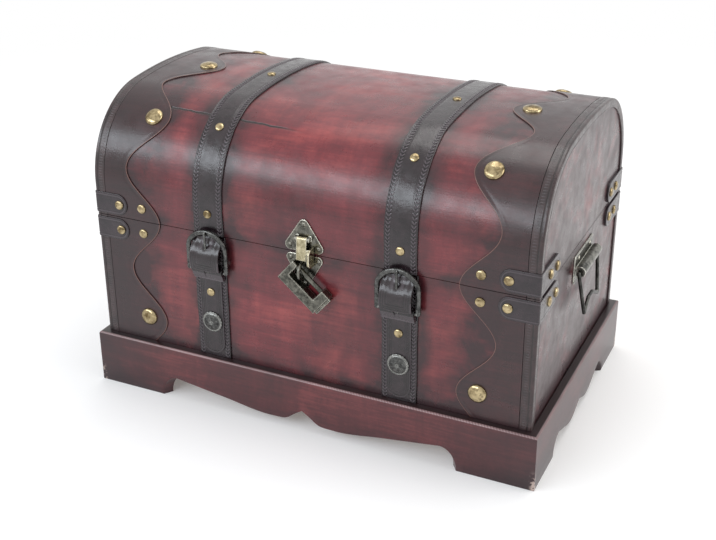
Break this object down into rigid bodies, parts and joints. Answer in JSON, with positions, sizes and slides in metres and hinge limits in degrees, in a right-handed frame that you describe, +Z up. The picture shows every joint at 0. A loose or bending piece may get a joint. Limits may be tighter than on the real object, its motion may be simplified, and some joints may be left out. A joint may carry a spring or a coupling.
{
  "type": "sea chest",
  "caption": "Dome-lidded sea chest on a bracket plinth, leather covered, with straps, buckles, a hasp with a bar padlock, and drop handles.",
  "frame": {"origin": "on the floor, under the middle of the plinth", "axes": "+X to the right end, +Y to the back with the hinges, +Z up"},
  "size_m": [0.447, 0.28, 0.2938],
  "materials": {
    "red_leather": "semi-gloss, mottled, aged",
    "dark_leather": "satin, stitched",
    "board": "plain sawn board",
    "plinth_wood": "dark red stain, satin",
    "brass": "antique, polished crowns",
    "antique_metal": "dark antique plating, worn bright edges",
    "lining": "plain dark felt"
  },
  "bodies": {
    "case": {"buckle_chapes": "dark_leather", "case_back_board": "board", "case_bottom_board": "board", "case_corner_tabs": "dark_leather", "case_edge_bindings": "dark_leather", "case_front_board": "board", "case_leather_cover": "red_leather", "case_left_board": "board", "case_lining": "lining", "case_overlays": "red_leather", "case_right_board": "board", "case_strap_nails": "brass", "case_straps": "dark_leather", "case_studs_large": "brass", "case_studs_small": "brass", "conchos": "antique_metal", "handle_nails": "antique_metal", "handle_plates": "antique_metal", "hasp_case_nails": "antique_metal", "hasp_lower_plate": "antique_metal", "hasp_staple": "antique_metal", "hinge_case_leaves": "antique_metal", "hinge_case_screws": "antique_metal", "hinge_pins": "antique_metal", "plinth_back_board": "plinth_wood", "plinth_corner_blocks": "board", "plinth_front_board": "plinth_wood", "plinth_left_board": "plinth_wood", "plinth_right_board": "plinth_wood", "strap_tails": "dark_leather"},
    "lid": {"hasp_lid_nails": "antique_metal", "hasp_pin": "antique_metal", "hasp_upper_plate": "antique_metal", "hinge_lid_leaves": "antique_metal", "hinge_lid_screws": "antique_metal", "lid_back_rail": "board", "lid_corner_tabs": "dark_leather", "lid_dome_panel": "board", "lid_edge_bindings": "dark_leather", "lid_end_covers": "red_leather", "lid_front_rail": "board", "lid_leather_cover": "red_leather", "lid_left_end": "board", "lid_lining": "lining", "lid_overlays": "red_leather", "lid_right_end": "board", "lid_strap_left": "dark_leather", "lid_strap_nails": "brass", "lid_strap_right": "dark_leather", "lid_studs_large": "brass", "lid_studs_small": "brass"},
    "hasp_tongue": {"hasp_tongue": "antique_metal"},
    "padlock": {"padlock_body": "antique_metal"},
    "padlock_bolt": {"padlock_bolt": "antique_metal"},
    "left_bail": {"handle_bail_left": "antique_metal"},
    "right_bail": {"handle_bail_right": "antique_metal"},
    "left_buckle": {"buckle_frame_left": "antique_metal", "buckle_prong_left": "antique_metal"},
    "right_buckle": {"buckle_frame_right": "antique_metal", "buckle_prong_right": "antique_metal"}
  },
  "joints": [
    {"name": "lid_hinge", "type": "hinge", "parent": "case", "child": "lid", "pos_m": [0, 0.1326, 0.176], "axis": [-1, 0, 0], "range_deg": [0, 100]},
    {"name": "hasp_tongue_hinge", "type": "hinge", "parent": "lid", "child": "hasp_tongue", "pos_m": [0.003, -0.1324, 0.1906], "axis": [-1, 0, 0], "range_deg": [0, 85]},
    {"name": "padlock_swing", "type": "hinge", "parent": "case", "child": "padlock", "pos_m": [0.003, -0.135, 0.1615], "axis": [0, 1, 0], "range_deg": [-20, 6]},
    {"name": "padlock_bolt_slide", "type": "slide", "parent": "padlock", "child": "padlock_bolt", "axis": [0.7604, 0, -0.6494], "range_m": [0, 0.03]},
    {"name": "left_bail_hinge", "type": "hinge", "parent": "case", "child": "left_bail", "pos_m": [-0.2168, 0.005, 0.154], "axis": [0, 1, 0], "range_deg": [0, 88]},
    {"name": "right_bail_hinge", "type": "hinge", "parent": "case", "child": "right_bail", "pos_m": [0.2168, 0.005, 0.154], "axis": [0, -1, 0], "range_deg": [0, 88]},
    {"name": "left_buckle_swing", "type": "hinge", "parent": "case", "child": "left_buckle", "pos_m": [-0.0925, -0.1347, 0.143], "axis": [1, 0, 0], "range_deg": [0, 4.5]},
    {"name": "right_buckle_swing", "type": "hinge", "parent": "case", "child": "right_buckle", "pos_m": [0.0925, -0.1347, 0.143], "axis": [1, 0, 0], "range_deg": [0, 4.5]}
  ]
}
